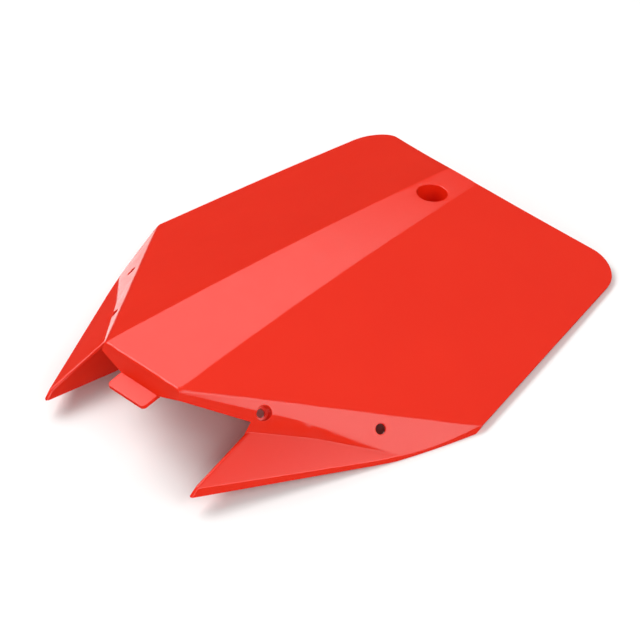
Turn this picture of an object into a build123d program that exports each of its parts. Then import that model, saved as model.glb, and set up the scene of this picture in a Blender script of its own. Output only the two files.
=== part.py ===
"""Front number board of an off-road motorbike: one thin-walled moulding in polypropylene.

The board lies face up on a bench at z = 0. x = 0 is its mirror plane and +y points to its top edge.
Points are given for the +x half, with y = 0 at the lower end of the flat ridge; the finished board is
then moved along y to stand over the middle of its length.
"""
import os
from math import hypot, radians, tan

from build123d import *

# sheet
wall = 2.3
fold_radius = 4.0
crest_radius = 1.5

# flat ridge down the middle, gently arched lengthwise
ridge_length = 246.0
ridge_width_low = 52.8
ridge_width_top = 20.9
ridge_height_low = 53.7
ridge_height_mid = 47.4
ridge_height_top = 35.5

# flanks fall away from the ridge, less steeply towards the top
flank_slope_low = 0.446
flank_slope_mid = 0.430
flank_slope_top = 0.376

# outline of the face: side corner, top corner
side_x = 120.0
side_y = 127.2
top_x = 90.7
top_y = 279.3
top_corner_radius = 17.0

# outer rim of the wings, traced on the bench: in front of the prong, below the wing, at the heel
rim_draft = 18.0
rim_radius = 1.8
rim_tip_x = 58.1
rim_tip_y = -19.0
rim_wing_x = 97.0
rim_wing_y = 63.8
rim_heel_x = 118.2
rim_heel_y = 118.3

# steep wing facet: it runs from the ridge corner and the side corner down to the wing point
wing_x = 100.6
wing_y = 78.9
wing_z = 4.9

# front wall under the ridge and step walls from the wing facets down to the prongs
wall_draft = 12.0
bay_corner_radius = 4.0
step_low_x = 27.9
step_bend_x = 73.0
step_bend_y = 52.3
step_bend_radius = 200.0
step_end = 0.6

# prongs
tip_x = 53.0
tip_y = -18.9
tip_z = 14.4
tip_skirt = 4.7
prong_root_x = 51.2
prong_root_y = 23.1
prong_root_z = 25.6
prong_radius = 1.5
flange_draft = 12.0
flange_reach = 10.0

# lip around the bay, its height at the ridge corner and its clear height over the prong's root; the tab on it
lip_height = 6.4
lip_clear = 7.3
tab_width = 26.6
tab_length = 10.3
tab_drop = 11.0
tab_slope = 8.0
tab_corner_radius = 2.5

# sunk bolt seat near the top edge
seat_y = 220.3
seat_radius = 8.3
seat_depth = 12.0
seat_edge_radius = 0.7
bolt_hole_radius = 3.25

# in each wing facet a small bolt well on the step's edge and a plain hole by the wing point
well_x = 55.7
well_y = 32.0
well_radius = 3.9
well_depth = 6.0
well_hole_radius = 2.25
wing_hole_x = 91.9
wing_hole_y = 80.0
wing_hole_radius = 2.75

# how far construction blocks reach past the part
span = 700.0
below = 20.0


def along_ridge(y, low, mid, top):
    """A value that runs along the ridge as a parabola through its low, middle and top values."""
    t = y / ridge_length
    return low * (1 - t) * (1 - 2 * t) + mid * 4 * t * (1 - t) + top * t * (2 * t - 1)


def ridge_height(y):
    return along_ridge(y, ridge_height_low, ridge_height_mid, ridge_height_top)


def ridge_half(y):
    return (ridge_width_low + (ridge_width_top - ridge_width_low) * y / ridge_length) / 2


def flank_slope(y):
    return along_ridge(y, flank_slope_low, flank_slope_mid, flank_slope_top)


def flank_height(x, y):
    return ridge_height(y) - flank_slope(y) * (x - ridge_half(y))


def facing(a, b, c, towards):
    """The normal of the plane through three points, turned to face a direction."""
    normal = (b - a).cross(c - a).normalized()
    if normal.dot(towards) < 0:
        normal = normal * -1
    return normal


up = Vector(0, 0, 1)
ridge_corner = Vector(ridge_width_low / 2, 0, ridge_height_low)
side_corner = Vector(side_x, side_y, flank_height(side_x, side_y))
top_corner = Vector(top_x, top_y, flank_height(top_x, top_y))
ridge_top = Vector(ridge_half(ridge_length), ridge_length, ridge_height_top)
wing_point = Vector(wing_x, wing_y, wing_z)
wing_normal = facing(ridge_corner, side_corner, wing_point, up)
tip = Vector(tip_x, tip_y, tip_z)
prong_root = Vector(prong_root_x, prong_root_y, prong_root_z)
prong_end = Vector(wing_x, wing_y, wing_z - step_end)
prong_normal = facing(tip, prong_root, prong_end, up)


def mirrored(point, side):
    return Vector(side * point.X, point.Y, point.Z)


def both(points):
    return [mirrored(point, side) for side in (1, -1) for point in points]


def on_wing(x, y):
    """The point of the steep wing facet above a plan position."""
    fall = wing_normal.X * (x - ridge_corner.X) + wing_normal.Y * (y - ridge_corner.Y)
    return Vector(x, y, ridge_corner.Z - fall / wing_normal.Z)


def behind(point, normal, depth=0.0):
    """Everything behind a plane through a point, the plane first moved back by a depth."""
    normal = normal.normalized()
    plane = Plane(origin=point - normal * depth, z_dir=normal)
    return plane * Box(span, span, span, align=(Align.CENTER, Align.CENTER, Align.MAX))


def edges_at(block, points):
    """The edges of a block nearest to the given points, each one once."""
    found = []
    for point in points:
        edge = min(block.edges(), key=lambda e: e.distance_to(point))
        if not any(edge.is_same(other) for other in found):
            found.append(edge)
    return found


def foot(point, along, draft):
    """Where a wall through a point, leaning out by a draft on its way down, stands on the bench."""
    level = Vector(along.Y, -along.X, 0).normalized()
    run = level * (point.Z * tan(radians(draft)))
    return (point.X + run.X, point.Y + run.Y)


def drafted_block(profile, depth, draft):
    """A profile on the bench drawn up and down into a block with leaning walls, set in by a depth."""
    spread = below * tan(radians(draft)) - depth
    base = Pos(0, 0, -below) * offset(profile, spread, kind=Kind.INTERSECTION)
    return extrude(base, below + 1.5 * ridge_height_low, dir=(0, 0, 1), taper=draft)


def roof_section(y, depth):
    """Cross-section of the ridge and both flanks, set in by a depth, closed far below."""
    slope = flank_slope(y)
    slant = hypot(1, slope)
    half = ridge_half(y) - depth * (slant - 1) / slope
    far = 1.3 * side_x
    edge = flank_height(far, y) - depth * slant
    top = ridge_height(y) - depth
    low = -ridge_height_low
    right = [(half, top), (far, edge), (far, low)]
    left = [(-x, z) for x, z in reversed(right)]
    outline = Polyline(*right, *left, close=True)
    return Plane(origin=(0, y, 0), x_dir=(1, 0, 0), z_dir=(0, -1, 0)) * make_face(outline)


def roof(depth):
    """The block under the ridge, the flanks and the steep wing facets, its folds rounded."""
    mid_y = ridge_length / 2
    block = loft([roof_section(y, depth) for y in (-0.3 * mid_y, mid_y, 2.6 * mid_y)])
    for side in (1, -1):
        block = block & behind(mirrored(ridge_corner, side), mirrored(wing_normal, side), depth)
    low_y = -0.1 * ridge_length
    rise = ridge_height(low_y) - ridge_corner.Z
    low_x = ridge_corner.X - (wing_normal.Y * low_y + wing_normal.Z * rise) / wing_normal.X
    ridge_edge = Vector(ridge_half(mid_y), mid_y, ridge_height(mid_y))
    fold_edge = (ridge_corner + side_corner) * 0.5
    low_edge = Vector(low_x, low_y, ridge_height(low_y))
    return fillet(edges_at(block, both([ridge_edge, fold_edge, low_edge])), fold_radius - depth)


def bay_walls(depth):
    """The block inside the front wall and the two step walls."""
    step_low = on_wing(step_low_x, 0)
    bend = on_wing(step_bend_x, step_bend_y)
    low = foot(step_low, bend - step_low, wall_draft)
    kink = foot(bend, wing_point - step_low, wall_draft)
    high = foot(wing_point, wing_point - bend, wall_draft)
    front = -ridge_height_low * tan(radians(wall_draft))
    corner = (low[0] + (kink[0] - low[0]) * (front - low[1]) / (kink[1] - low[1]), front)
    far = (high[0] + 3 * (high[0] - kink[0]), high[1] + 3 * (high[1] - kink[1]))
    right = [corner, kink, high, far, (far[0], span)]
    left = [(-x, y) for x, y in reversed(right)]
    profile = make_face(Polyline(*right, *left, close=True))
    profile = fillet(profile.vertices().filter_by(lambda v: abs(v.Y - kink[1]) < 0.01), step_bend_radius)
    profile = fillet(profile.vertices().filter_by(lambda v: abs(v.Y - front) < 0.01), bay_corner_radius)
    return drafted_block(profile, depth, wall_draft)


def rim_walls(depth):
    """The block inside the outer rim of both wings: straight along the prong, then curving to the heel."""
    front = Vector(rim_tip_x, rim_tip_y)
    wing = Vector(rim_wing_x, rim_wing_y)
    heel = Vector(rim_heel_x, rim_heel_y)
    run = wing - front
    start = front - run
    sweep = TangentArc(wing, heel, tangent=run)
    ahead = heel + (sweep % 1) * (span / 2)
    half = [Line(start, wing), sweep, Line(heel, ahead)]
    other_half = [mirror(edge, about=Plane.YZ) for edge in half]
    ends = [Line(start, mirrored(start, -1)), Line(ahead, mirrored(ahead, -1))]
    return drafted_block(make_face([*half, *other_half, *ends]), depth, rim_draft)


def body(depth):
    """The roof inside the rim and the bay walls, with its rim and its crest over the bay rounded."""
    block = roof(depth) & rim_walls(depth)
    if depth == 0:
        rim_edge = on_wing(rim_heel_x - rim_radius, (rim_wing_y + rim_heel_y) / 2)
        block = fillet(edges_at(block, both([rim_edge])), rim_radius)
    block = block & bay_walls(depth)
    if depth == 0:
        block = fillet(edges_at(block, [Vector(0, 0, ridge_height_low)]), crest_radius)
    return block


def flange_normal():
    """The normal of a prong's inner flange, which leans into the notch on its way down."""
    along = prong_root - tip
    level = Vector(-along.Y, along.X, 0).normalized()
    down = level * tan(radians(flange_draft)) - up
    return facing(tip, prong_root, tip + down, Vector(-1, 0, 0))


def flange_side(side, depth):
    return behind(mirrored(tip, side), mirrored(flange_normal(), side), depth)


def prong(side, depth):
    """The block under a prong's face, from the outer rim to the inner flange, reaching in past the step."""
    block = rim_walls(depth) & behind(mirrored(tip, side), mirrored(prong_normal, side), depth)
    block = block & flange_side(side, depth)
    if depth == 0:
        crest = [(tip + prong_root) * 0.5, (tip + prong_end) * 0.5, tip - up * tip_z]
        block = fillet(edges_at(block, [mirrored(point, side) for point in crest]), prong_radius)
    block = block & behind(Vector(0, 1.5 * wing_y, 0), Vector(0, 1, 0))
    return block - bay_walls(depth)


def face_outline():
    """The block inside the top edge and both sides, its faces square to the flanks."""
    low_end = side_corner * 4 - top_corner * 3
    across = Vector(-top_x, ridge_top.Y, ridge_top.Z)
    plane = Plane(origin=top_corner, z_dir=facing(side_corner, top_corner, ridge_top, up))
    points = [low_end, top_corner, ridge_top, across, across + low_end - top_corner]
    corners = [plane.to_local_coords(point) for point in points]
    profile = make_face(Polyline(*[(corner.X, corner.Y) for corner in corners], close=True))
    top = profile.vertices().filter_by(lambda v: hypot(v.X, v.Y) < 0.01)
    block = plane * extrude(fillet(top, top_corner_radius), span / 2, both=True)
    half = block & behind(Vector(0, 0, 0), Vector(-1, 0, 0))
    return half + mirror(half, about=Plane.YZ)


def outer_block():
    """The whole outside of the board as one solid block."""
    block = body(0).fuse(prong(1, 0), prong(-1, 0))
    block = block & face_outline() & behind(Vector(0, 0, 0), Vector(0, 0, -1))
    skirt = Vector(tip_x, tip_y, tip_z - tip_skirt)
    return block & behind(skirt, Vector(0, -skirt.Z / (wing_y - tip_y), -1))


def inner_block():
    """What is hollow behind the board."""
    return body(wall).fuse(prong(1, wall), prong(-1, wall))


def front_face(z):
    """How far forward the front wall stands at a height."""
    return -(ridge_height_low - z) * tan(radians(wall_draft))


def tab_level():
    return ridge_height_low - tab_drop


def lip_cut():
    """What is cleared from the bay walls below the lip, between the flanges; the web over the tab stays.

    On each side the lip's edge lies in one plane, which rises from the tab to the ridge corner and falls
    along the step wall.
    """
    corner_z = ridge_height_low - lip_height
    by_tab = Vector(tab_width / 2, front_face(tab_level()), tab_level())
    by_corner = Vector(ridge_corner.X, front_face(corner_z), corner_z)
    slant = facing(by_tab, by_corner, prong_root + up * lip_clear, up)
    block = behind(by_tab, slant).fuse(behind(mirrored(by_tab, -1), mirrored(slant, -1)))
    for side in (1, -1):
        block = block - flange_side(side, 0)
    web = Box(tab_width, 4 * tab_length, ridge_height_low, align=(Align.CENTER, Align.CENTER, Align.MIN))
    return block - Pos(0, 0, tab_level() - wall) * web


def flanges(outer):
    """The inner wall of each prong, reaching back under the wing behind the step wall."""
    walls = []
    for side in (1, -1):
        slab = flange_side(side, 0) - flange_side(side, wall)
        walls.append((outer & slab) - bay_walls(flange_reach) - well_room(side))
    return walls


def tab():
    """The flat tab on the lip, sloping down a little, its free corners rounded."""
    z = tab_level()
    plane = Plane(origin=(0, front_face(z), z), x_dir=(1, 0, 0), z_dir=up.rotate(Axis.X, tab_slope))
    plate = Box(tab_width, tab_length + wall / 2, wall, align=(Align.CENTER, Align.MAX, Align.MAX))
    corners = plate.edges().filter_by(Axis.Z).group_by(Axis.Y)[0]
    return plane * Pos(0, wall / 2, 0) * fillet(corners, tab_corner_radius)


def seat_plane():
    step = ridge_length / 100
    rise = (ridge_height(seat_y + step) - ridge_height(seat_y - step)) / (2 * step)
    return Plane(origin=(0, seat_y, ridge_height(seat_y)), x_dir=(1, 0, 0), z_dir=(0, -rise, 1))


def seat_cup():
    """The cup behind the ridge that holds the sunk bolt seat."""
    cup = Cylinder(seat_radius + wall, seat_depth + wall / 2, align=(Align.CENTER, Align.CENTER, Align.MAX))
    return seat_plane() * Pos(0, 0, -wall / 2) * cup


def seat_bore():
    well = Cylinder(seat_radius, 2 * seat_depth)
    hole = Cylinder(bolt_hole_radius, 4 * seat_depth)
    return seat_plane() * (well + hole)


def on_wing_plane(x, y, side):
    """A plane lying on the wing facet at a plan position."""
    return Plane(origin=mirrored(on_wing(x, y), side), z_dir=mirrored(wing_normal, side))


def well_room(side):
    """The room that a prong's inner wall leaves around a small bolt well and its screw."""
    room = Cylinder(well_radius + wall / 2, 8 * well_depth)
    return on_wing_plane(well_x, well_y, side) * room


def well_tube(side):
    """The tube behind the wing facet that holds a small bolt well; it stays inside the step wall."""
    tube = Cylinder(well_radius + wall, well_depth + wall / 2, align=(Align.CENTER, Align.CENTER, Align.MAX))
    return on_wing_plane(well_x, well_y, side) * Pos(0, 0, -wall / 2) * tube & bay_walls(wall / 2)


def wing_bores(side):
    well = Cylinder(well_radius, 2 * well_depth) + Cylinder(well_hole_radius, 4 * well_depth)
    hole = Cylinder(wing_hole_radius, 4 * wall)
    return [on_wing_plane(well_x, well_y, side) * well, on_wing_plane(wing_hole_x, wing_hole_y, side) * hole]


def number_board():
    """The outside less the hollow, then lip, flanges, tab, bolt seats and holes."""
    outer = outer_block()
    board = outer - inner_block() - lip_cut()
    board = board.fuse(*flanges(outer), tab(), seat_cup(), well_tube(1), well_tube(-1))
    board = board.cut(seat_bore(), *wing_bores(1), *wing_bores(-1))
    mouth = Vector(0, seat_y - seat_radius, ridge_height(seat_y - seat_radius))
    board = fillet(edges_at(board, [mouth]), seat_edge_radius)
    return Pos(0, -board.bounding_box().center().Y, 0) * board


os.makedirs("parts", exist_ok=True)
export_step(number_board(), "parts/number_board.step")
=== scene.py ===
# %% [markdown]
# A front number board for an off-road motorbike is one thin sheet of red polypropylene, moulded with
# folds, prongs, a tab and bolt seats. It could be drawn again here, but a second drawing drifts away from
# the first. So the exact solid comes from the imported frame, and this script only dresses it: it rounds the
# sheet's edges, gives it the moulded finish, and sets up a small studio.

# %% Load the frame
from math import radians, sin

import bmesh
import bpy
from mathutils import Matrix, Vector
from mathutils.geometry import intersect_point_line


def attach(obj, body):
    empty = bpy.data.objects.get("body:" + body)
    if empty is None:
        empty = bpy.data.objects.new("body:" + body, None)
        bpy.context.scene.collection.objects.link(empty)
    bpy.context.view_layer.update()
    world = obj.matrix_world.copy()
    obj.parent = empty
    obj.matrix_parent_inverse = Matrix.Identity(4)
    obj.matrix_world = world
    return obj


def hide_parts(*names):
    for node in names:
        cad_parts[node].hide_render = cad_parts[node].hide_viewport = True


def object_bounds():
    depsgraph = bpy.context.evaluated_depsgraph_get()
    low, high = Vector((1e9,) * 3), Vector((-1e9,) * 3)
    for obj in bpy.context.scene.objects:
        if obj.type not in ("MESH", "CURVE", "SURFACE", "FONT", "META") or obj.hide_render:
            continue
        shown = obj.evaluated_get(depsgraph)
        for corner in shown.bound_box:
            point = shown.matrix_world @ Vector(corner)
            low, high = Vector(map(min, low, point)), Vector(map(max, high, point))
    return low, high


MM = 0.001

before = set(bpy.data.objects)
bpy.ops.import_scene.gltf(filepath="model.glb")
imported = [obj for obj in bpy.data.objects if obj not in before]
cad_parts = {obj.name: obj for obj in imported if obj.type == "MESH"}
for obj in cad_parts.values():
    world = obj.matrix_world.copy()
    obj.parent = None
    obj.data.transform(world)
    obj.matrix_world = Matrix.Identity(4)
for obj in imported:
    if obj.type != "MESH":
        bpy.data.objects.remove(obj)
cad_low, cad_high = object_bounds()
cad_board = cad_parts["number_board"]
cad_size = [round((high - low) / MM, 1) for low, high in zip(cad_low, cad_high)]
print("board from the frame:", cad_size, "mm")

# %% [markdown]
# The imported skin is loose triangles, each with corners of its own, and an edge can only be rounded between
# faces that know each other. Merging by distance joins the corners, Dissolve Degenerate takes out the
# slivers, and Limited Dissolve makes each flat stretch one face. Remesh would also give a closed skin, but
# it softens the folds that make this board, so its own faces are kept.

# %% Merge the skin into one shell
merge_distance = 0.2 * MM
flat_angle = radians(0.5)


def merged_skin(source):
    skin = bmesh.new()
    skin.from_mesh(source.data)
    bmesh.ops.remove_doubles(skin, verts=skin.verts, dist=merge_distance)
    bmesh.ops.dissolve_degenerate(skin, dist=merge_distance, edges=skin.edges)
    bmesh.ops.dissolve_limit(skin, angle_limit=flat_angle, verts=skin.verts, edges=skin.edges)
    bmesh.ops.dissolve_degenerate(skin, dist=merge_distance, edges=skin.edges)
    return skin


skin = merged_skin(cad_board)
print("triangles in the frame:", len(cad_board.data.polygons), "faces once joined:", len(skin.faces))

# %% [markdown]
# On the real moulding no edge is knife sharp: the tool's cutter and the shrinking plastic leave a small
# radius that catches the light as a thin line. A Bevel modifier could round every edge over an angle, but
# it narrows all of them to what the tightest corner allows. So the edges are picked one by one. A corner
# has room if one sharp edge runs through it almost straight, and if the other edges there leave it at a wide
# enough angle and run on beyond the radius.

# %% Find the corners with room for a radius
edge_radius = 0.4 * MM
side_room = 1.5 * edge_radius
sharp_angle = radians(35)
gentle_bend = radians(40)
least_turn = radians(10)


def is_sharp(edge):
    return edge.is_manifold and edge.calc_face_angle(0.0) > sharp_angle


def has_room(corner):
    sharp = [edge for edge in corner.link_edges if is_sharp(edge)]
    if len(sharp) != 2:
        return False
    ways = [edge.other_vert(corner).co - corner.co for edge in sharp]
    if ways[0].angle(-ways[1], 0.0) > gentle_bend:
        return False
    sides = [edge.other_vert(corner).co - corner.co for edge in corner.link_edges if edge not in sharp]
    turns = [min(side.angle(way, 0.0) for way in ways) for side in sides]
    rooms = [side.length * sin(turn) for side, turn in zip(sides, turns)]
    return all(turn > least_turn for turn in turns) and all(room > side_room for room in rooms)


print("corners:", len(skin.verts), "with room:", sum(has_room(corner) for corner in skin.verts))

# %% [markdown]
# An edge is rounded if both its ends have room, or one of them on a long edge. A few still crumple where
# many faces crowd together, and two faces then lie back on each other like a crease. This is hard to
# foresee and easy to see afterwards, so the picking also takes a list of such crowded places and passes by
# the edges next to them. What isn't rounded is marked sharp, so that it shades as a clean line.

# %% Pick the edges to round
long_edge = 3 * MM
crowd_reach = 1 * MM


def near(edge, place):
    start, end = (corner.co for corner in edge.verts)
    share = intersect_point_line(place, start, end)[1]
    on_edge = start.lerp(end, min(max(share, 0.0), 1.0))
    return (on_edge - place).length < crowd_reach


def roomy_edges(skin, crowded):
    roomy = {corner: has_room(corner) for corner in skin.verts}
    picked = []
    for edge in skin.edges:
        if not is_sharp(edge):
            continue
        room = [roomy[corner] for corner in edge.verts]
        wide = all(room) or (any(room) and edge.calc_length() > long_edge)
        if wide and not any(near(edge, place) for place in crowded):
            picked.append(edge)
        else:
            edge.smooth = False
    return picked


print("sharp edges:", sum(is_sharp(edge) for edge in skin.edges))

# %% [markdown]
# The rounding is tried once on a copy of the skin. Its creases are noted, and the second try, on the skin
# itself, leaves the edges beside them sharp. Two segments are enough for a radius this small, because
# smooth shading hides the facets.

# %% Round them
radius_segments = 2
circular_profile = 0.5
sliver = 0.02 * MM
fold_back = radians(150)
fold_area = 0.02 * MM ** 2


def round_edges(skin, edges):
    bmesh.ops.bevel(skin, geom=edges, offset=edge_radius, segments=radius_segments,
                    profile=circular_profile, affect="EDGES")
    bmesh.ops.remove_doubles(skin, verts=skin.verts, dist=sliver)
    bmesh.ops.dissolve_degenerate(skin, dist=sliver, edges=skin.edges)


def folded_places(skin):
    copy = skin.copy()
    bmesh.ops.triangulate(copy, faces=copy.faces)
    places = []
    for edge in copy.edges:
        if edge.is_manifold and edge.calc_face_angle(0.0) > fold_back:
            if min(face.calc_area() for face in edge.link_faces) > fold_area:
                places += [corner.co.copy() for corner in edge.verts]
    copy.free()
    return places


first_try = merged_skin(cad_board)
round_edges(first_try, roomy_edges(first_try, []))
crowded = folded_places(first_try)
first_try.free()
rounded = roomy_edges(skin, crowded)
rounded_length = sum(edge.calc_length() for edge in rounded)
round_edges(skin, rounded)
print("edges rounded:", round(rounded_length / MM), "mm")
print("crease ends, first try:", len(crowded), "second try:", len(folded_places(skin)))

# %% [markdown]
# The finished skin becomes an ordinary mesh object at the origin, with its place in its corners, just as the
# solid in the frame has it. The material's patterns then lie on the board the same way in every pose.
# Rounding adds its faces in another order on each run, so everything is sorted first by how far it lies
# along a skew line, and every run stores the mesh alike.

# %% Make the shell
skew_line = Vector((0.61, 0.37, 0.70))

skin.verts.sort(key=lambda corner: corner.co.dot(skew_line))
skin.edges.sort(key=lambda edge: (edge.verts[0].co + edge.verts[1].co).dot(skew_line))
skin.faces.sort(key=lambda face: face.calc_center_median().dot(skew_line))

shell = bpy.data.meshes.new("board_shell")
skin.to_mesh(shell)
skin.free()
shell.shade_smooth()
board = bpy.data.objects.new("board_shell", shell)
bpy.context.scene.collection.objects.link(board)
print("shell faces:", len(shell.polygons))

# %% [markdown]
# Smooth shading bends the normals of a flat face towards its rounded neighbours, which looks dented. More
# segments would hide that at the cost of many faces. The Weighted Normal modifier lets the largest face at
# each corner win instead, so the flats stay flat and only the narrow radius turns the light.

# %% Keep the flat faces flat
largest_face_wins = 100

shading = board.modifiers.new("flat_faces_stay_flat", "WEIGHTED_NORMAL")
shading.mode = "FACE_AREA"
shading.weight = largest_face_wins
shading.keep_sharp = True
print("normals weighted by:", shading.mode, "at", shading.weight)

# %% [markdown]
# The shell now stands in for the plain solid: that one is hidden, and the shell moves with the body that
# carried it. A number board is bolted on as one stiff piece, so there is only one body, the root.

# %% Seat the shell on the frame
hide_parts("number_board")
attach(board, "root")
print(board.name, "stands in for the solid", cad_board.name)

# %% [markdown]
# Colours are written as sRGB hex values, as on a colour chart, while shaders reckon in linear light, so
# one function turns the first into the second. Nodes could be added by hand one line at a time; one small
# function that takes a node's settings and links keeps each material readable from top to bottom.

# %% Helpers for materials


def linear(hex_colour):
    channels = [int(hex_colour[i:i + 2], 16) / 255 for i in (1, 3, 5)]
    steps = [c / 12.92 if c <= 0.04045 else ((c + 0.055) / 1.055) ** 2.4 for c in channels]
    return (*steps, 1.0)


def add_node(tree, kind, settings=None, inputs=None):
    node = tree.nodes.new(kind)
    for key, value in (settings or {}).items():
        setattr(node, key, value)
    for key, value in (inputs or {}).items():
        if isinstance(value, bpy.types.NodeSocket):
            tree.links.new(value, node.inputs[key])
        else:
            node.inputs[key].default_value = value
    return node


def new_material(name):
    material = bpy.data.materials.new(name)
    material.use_nodes = True
    tree = material.node_tree
    tree.nodes.clear()
    return material, tree


print("a middle grey in linear light:", round(linear("#808080")[0], 3))

# %% [markdown]
# A mould has two halves. The face of the board comes off a polished one and its back off a blasted one, so
# the back is matt with a sandy grain. Two materials could be given to two sets of faces, but the board is
# one plastic all through. So it has one material, and a face attribute that tells the shader which
# half of the mould a face comes from.

# %% Mark the back
back_facing = -0.15

back = board.data.attributes.new("back", "FLOAT", "FACE")
back.data.foreach_set("value", [float(face.normal.z < back_facing) for face in board.data.polygons])
print("back faces:", sum(face.normal.z < back_facing for face in board.data.polygons))

# %% [markdown]
# The board is polypropylene, coloured through before it is moulded. Its red is nearly even: only where the
# melt flowed is the pigment a touch denser. A painted picture could show that, but noise on Object
# coordinates needs no file, has no seams, and takes its scale from a real size.

# %% Pigment
board_red = linear("#EE2C12")
dense_red = linear("#E9270F")
flow_size = 45 * MM
flow_detail = 2.0

# Moulded polypropylene: a deep, even red under a soft gloss, in which lamps show pale and without an outline.
plastic, tree = new_material("moulded_red_polypropylene")
place = add_node(tree, "ShaderNodeTexCoord").outputs["Object"]
side = add_node(tree, "ShaderNodeAttribute", {"attribute_name": "back"}).outputs["Fac"]
flow = add_node(tree, "ShaderNodeTexNoise", inputs={
    "Vector": place, "Scale": 1 / flow_size, "Detail": flow_detail})
pigment = add_node(tree, "ShaderNodeMix", {"data_type": "RGBA"}, {
    "Factor": flow.outputs["Fac"], "A": dense_red, "B": board_red})
print("pigment changes over about", round(flow_size / MM), "mm")

# %% [markdown]
# The plastic copies the tool. On the face the tool is polished, by hand and so not everywhere alike, and the
# gloss varies a little from place to place. On the back it is blasted, and the plastic comes out matt. One
# roughness for all would look like paint, so the polish follows a noise, and the back has its own value.

# %% Polish
polish_size = 9 * MM
polish_detail = 3.0
noise_low = 0.3
noise_high = 0.7
best_polish = 0.19
least_polish = 0.25
blasted = 0.48

polish = add_node(tree, "ShaderNodeTexNoise", inputs={
    "Vector": place, "Scale": 1 / polish_size, "Detail": polish_detail})
gloss = add_node(tree, "ShaderNodeMapRange", inputs={
    "Value": polish.outputs["Fac"], "From Min": noise_low, "From Max": noise_high,
    "To Min": best_polish, "To Max": least_polish})
roughness = add_node(tree, "ShaderNodeMix", inputs={
    "Factor": side, "A": gloss.outputs["Result"], "B": blasted})
print("roughness of the face:", best_polish, "to", least_polish, "and of the back:", blasted)

# %% [markdown]
# As the plastic cools it shrinks, and its skin gets a very faint orange peel. The blasted back has a sandy
# grain instead. Both are far too shallow for real geometry, so they are a bump, with heights in metres.

# %% Orange peel and grain
peel_size = 2.4 * MM
peel_detail = 1.0
peel_height = 0.004 * MM
# Blasting leaves pits of a tenth or two of a millimetre. They are drawn coarser here, so that they show.
grain_size = 0.7 * MM
grain_detail = 2.0
grain_height = 0.03 * MM
one_metre = 1.0

peel = add_node(tree, "ShaderNodeTexNoise", inputs={
    "Vector": place, "Scale": 1 / peel_size, "Detail": peel_detail})
grain = add_node(tree, "ShaderNodeTexNoise", inputs={
    "Vector": place, "Scale": 1 / grain_size, "Detail": grain_detail})
pattern = add_node(tree, "ShaderNodeMix", inputs={
    "Factor": side, "A": peel.outputs["Fac"], "B": grain.outputs["Fac"]})
depth = add_node(tree, "ShaderNodeMix", inputs={"Factor": side, "A": peel_height, "B": grain_height})
relief = add_node(tree, "ShaderNodeMath", {"operation": "MULTIPLY"}, {
    0: pattern.outputs["Result"], 1: depth.outputs["Result"]})
bump = add_node(tree, "ShaderNodeBump", inputs={"Height": relief.outputs["Value"], "Distance": one_metre})
print("peel:", peel_size / MM, "mm wide; grain:", grain_size / MM, "mm wide")

# %% [markdown]
# Polypropylene isn't quite opaque. Light that enters it comes out again a millimetre or two away, red
# furthest of all, and so thin walls glow a little. Transmission would make it look like glass, so a share
# of subsurface scattering is used. Its refractive index of 1.49 is the usual one for this plastic.

# %% Red polypropylene
refractive_index = 1.49
scatter_share = 0.3
scatter_by_colour = (1.0, 0.25, 0.12)
scatter_depth = 1.6 * MM

shader = add_node(tree, "ShaderNodeBsdfPrincipled", inputs={
    "Base Color": pigment.outputs["Result"], "Roughness": roughness.outputs["Result"],
    "IOR": refractive_index, "Subsurface Weight": scatter_share,
    "Subsurface Radius": scatter_by_colour, "Subsurface Scale": scatter_depth,
    "Normal": bump.outputs["Normal"]})
add_node(tree, "ShaderNodeOutputMaterial", inputs={"Surface": shader.outputs["BSDF"]})
board.data.materials.clear()
board.data.materials.append(plastic)
print("finish:", plastic.name, "with", len(tree.nodes), "nodes")

# %% [markdown]
# The board lies on a wide, pale table top, and the white ground of the picture is the table's own colour. A
# glossy board mirrors a pale table in its steep faces and turns them pink. Photographers keep that off with
# black card; here the table is simply left out of reflections, and those faces mirror the dim room.

# %% Table top
table_size = 5.0
half = table_size / 2
table_corners = [(-half, -half, 0), (half, -half, 0), (half, half, 0), (-half, half, 0)]

table_mesh = bpy.data.meshes.new("table_top")
table_mesh.from_pydata(table_corners, [], [(0, 1, 2, 3)])
table = bpy.data.objects.new("table_top", table_mesh)
bpy.context.scene.collection.objects.link(table)

# Matt laminate: an even, pale surface without a shine, which shows nothing but the board's shadow.
table_material, tree = new_material("pale_laminate")
pale = add_node(tree, "ShaderNodeBsdfDiffuse", inputs={"Color": linear("#FAFAF9")})
add_node(tree, "ShaderNodeOutputMaterial", inputs={"Surface": pale.outputs["BSDF"]})
table_mesh.materials.append(table_material)
table.visible_glossy = False
print("table top:", table_size, "m square")

# %% [markdown]
# The room is dim near the ground and lighter overhead, so the flanks mirror little and stay deep red. Seen
# from the front right, the steep left wing mirrors a spot below the table's level, where no lamp can stand.
# A small round glow in the room's own light gives that wing its pale band. The table keeps the glow's light
# off everything else.

# %% Room
room_dim = 0.06
room_overhead = 0.42
dim_up_to = 0.1
glow_towards = Vector((-0.77, 0.43, -0.47)).normalized()
glow_inner = 0.995
glow_outer = 0.988
glow_strength = 1.4

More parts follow.
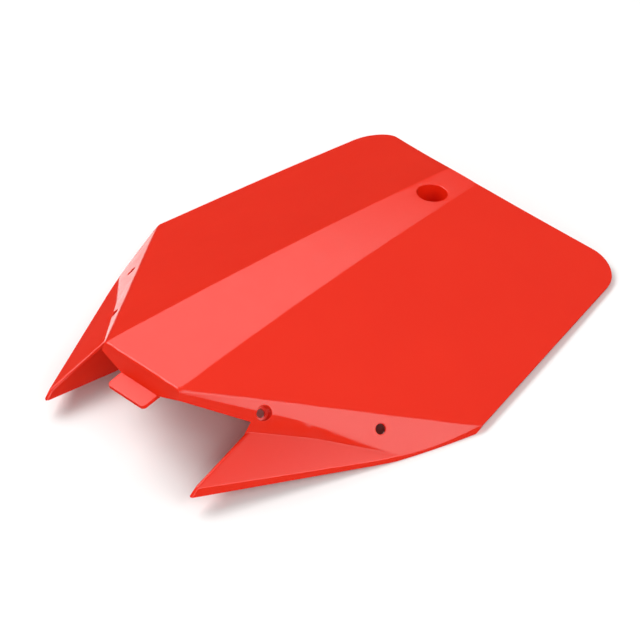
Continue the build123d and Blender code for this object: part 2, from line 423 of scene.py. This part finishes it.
world = bpy.data.worlds.new("studio")
world.use_nodes = True
bpy.context.scene.world = world
tree = world.node_tree
tree.nodes.clear()
view = add_node(tree, "ShaderNodeTexCoord").outputs["Generated"]
height = add_node(tree, "ShaderNodeSeparateXYZ", inputs={"Vector": view}).outputs["Z"]
overhead = add_node(tree, "ShaderNodeMapRange", inputs={
    "Value": height, "From Min": dim_up_to, "To Min": room_dim, "To Max": room_overhead}).outputs["Result"]
nearness = add_node(tree, "ShaderNodeVectorMath", {"operation": "DOT_PRODUCT"}, {
    0: view, 1: glow_towards}).outputs["Value"]
glow = add_node(tree, "ShaderNodeMapRange", inputs={
    "Value": nearness, "From Min": glow_outer, "From Max": glow_inner,
    "To Max": glow_strength}).outputs["Result"]
room = add_node(tree, "ShaderNodeMath", {"operation": "ADD"}, {0: overhead, 1: glow}).outputs["Value"]
dim = add_node(tree, "ShaderNodeBackground", inputs={"Color": linear("#FFFFFF"), "Strength": room})
add_node(tree, "ShaderNodeOutputWorld", inputs={"Surface": dim.outputs["Background"]})
print("room light:", room_dim, "low down,", room_overhead, "overhead")

# %% [markdown]
# Each flat face of the board mirrors one direction, so the places of the softboxes decide which faces look
# pale. The one behind on the left stands near where the ridge mirrors, and the right one where the right
# wing does. The high one on the left is the main light, and the low one fills the walls that face the
# camera. Sun or spot lamps could light it too, but only wide lamps give soft shadows and a soft gloss.

# %% Softboxes
softbox_distance = 1.4


def softbox(name, towards, width, height, watts):
    light = bpy.data.lights.new(name, "AREA")
    light.shape = "RECTANGLE"
    light.size = width
    light.size_y = height
    light.energy = watts
    lamp = bpy.data.objects.new(name, light)
    direction = Vector(towards).normalized()
    lamp.location = direction * softbox_distance
    lamp.rotation_euler = direction.to_track_quat("Z", "Y").to_euler()
    bpy.context.scene.collection.objects.link(lamp)
    print(name, "at", [round(part, 2) for part in lamp.location], "m,", watts, "W")


softbox("softbox_right", towards=(0.80, 0.05, 0.60), width=0.8, height=0.8, watts=6.3)
softbox("softbox_behind_left", towards=(-0.55, 0.44, 0.72), width=0.9, height=0.7, watts=3.4)
softbox("softbox_high_left", towards=(-0.58, -0.22, 0.79), width=1.0, height=0.8, watts=13.6)
softbox("softbox_low_front", towards=(0.58, -0.68, 0.45), width=0.8, height=0.6, watts=5)

# %% [markdown]
# The photograph is taken with a long lens from the front right, well above the board. A camera could be
# moved by eye until the picture fits; here its place, direction and focal length were solved from the
# board's corners, and the lens in millimetres follows from the focal length in pixels.

# %% Camera
camera_place = (0.9687, -1.01599, 1.2091)
camera_azimuth = radians(43.498)
camera_elevation = radians(40.615)
sensor_width = 36.0
focal_pixels = 3447.9
image_pixels = 640

camera_data = bpy.data.cameras.new("camera")
camera_data.sensor_width = sensor_width
camera_data.lens = focal_pixels / image_pixels * sensor_width
camera = bpy.data.objects.new("camera", camera_data)
camera.location = camera_place
camera.rotation_euler = (radians(90) - camera_elevation, 0.0, camera_azimuth)
bpy.context.scene.collection.objects.link(camera)
bpy.context.scene.camera = camera
bpy.context.scene.view_settings.view_transform = "Standard"
print("lens:", round(camera_data.lens, 1), "mm")
